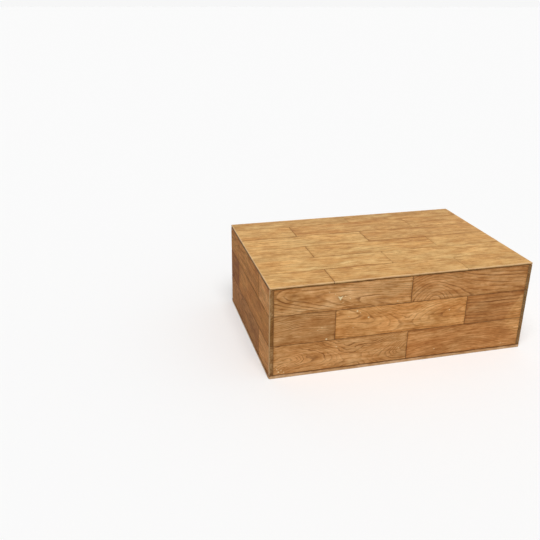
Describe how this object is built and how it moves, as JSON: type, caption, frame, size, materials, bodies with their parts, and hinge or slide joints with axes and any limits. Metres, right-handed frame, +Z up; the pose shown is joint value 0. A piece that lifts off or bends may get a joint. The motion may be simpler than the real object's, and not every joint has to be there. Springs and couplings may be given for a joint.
{
  "type": "washer toss box",
  "caption": "Washer toss box: plywood catch box clad in oak strips, with a rim frame round its mouth and a round scoring cup inside, standing mouth down on the rim.",
  "frame": {"origin": "on the surface that the rim stands on, under the middle of the box", "axes": "+X along the length, +Y across the depth away from the front, +Z up from the rim to the closed face; the mouth faces -Z"},
  "size_m": [0.612, 0.408, 0.216],
  "materials": {
    "oak_strip": "satin oiled oak, honey brown, darker on the walls than on the closed face",
    "oak_rim": "worn matt oak, paler than the strips",
    "birch_plywood": "unfinished",
    "softwood_block": "unfinished, planed",
    "pipe_plastic": "smooth, slightly glossy white drain pipe",
    "carpet_lining": "short felted carpet",
    "zinc_steel": "zinc plated"
  },
  "bodies": {
    "root": {"back_strip_1_1": "oak_strip", "back_strip_1_2": "oak_strip", "back_strip_2_1": "oak_strip", "back_strip_2_2": "oak_strip", "back_strip_2_3": "oak_strip", "back_strip_3_1": "oak_strip", "back_strip_3_2": "oak_strip", "back_wall": "birch_plywood", "closed_face_strip_1_1": "oak_strip", "closed_face_strip_1_2": "oak_strip", "closed_face_strip_1_3": "oak_strip", "closed_face_strip_2_1": "oak_strip", "closed_face_strip_2_2": "oak_strip", "closed_face_strip_3_1": "oak_strip", "closed_face_strip_3_2": "oak_strip", "closed_face_strip_3_3": "oak_strip", "closed_face_strip_4_1": "oak_strip", "closed_face_strip_4_2": "oak_strip", "closed_face_strip_5_1": "oak_strip", "closed_face_strip_5_2": "oak_strip", "closed_face_strip_5_3": "oak_strip", "closed_face_strip_6_1": "oak_strip", "closed_face_strip_6_2": "oak_strip", "corner_block_back_left": "softwood_block", "corner_block_back_right": "softwood_block", "corner_block_front_left": "softwood_block", "corner_block_front_right": "softwood_block", "cup_plug": "birch_plywood", "cup_screw_1": "zinc_steel", "cup_screw_2": "zinc_steel", "cup_screw_3": "zinc_steel", "cup_tube": "pipe_plastic", "floor_lining": "carpet_lining", "floor_panel": "birch_plywood", "front_strip_1_1": "oak_strip", "front_strip_1_2": "oak_strip", "front_strip_2_1": "oak_strip", "front_strip_2_2": "oak_strip", "front_strip_2_3": "oak_strip", "front_strip_3_1": "oak_strip", "front_strip_3_2": "oak_strip", "front_wall": "birch_plywood", "left_end_strip_1_1": "oak_strip", "left_end_strip_1_2": "oak_strip", "left_end_strip_2_1": "oak_strip", "left_end_strip_2_2": "oak_strip", "left_end_strip_3_1": "oak_strip", "left_end_strip_3_2": "oak_strip", "left_wall": "birch_plywood", "right_end_strip_1_1": "oak_strip", "right_end_strip_1_2": "oak_strip", "right_end_strip_2_1": "oak_strip", "right_end_strip_2_2": "oak_strip", "right_end_strip_3_1": "oak_strip", "right_end_strip_3_2": "oak_strip", "right_wall": "birch_plywood", "rim_back": "oak_rim", "rim_front": "oak_rim", "rim_left": "oak_rim", "rim_right": "oak_rim"}
  },
  "joints": []
}
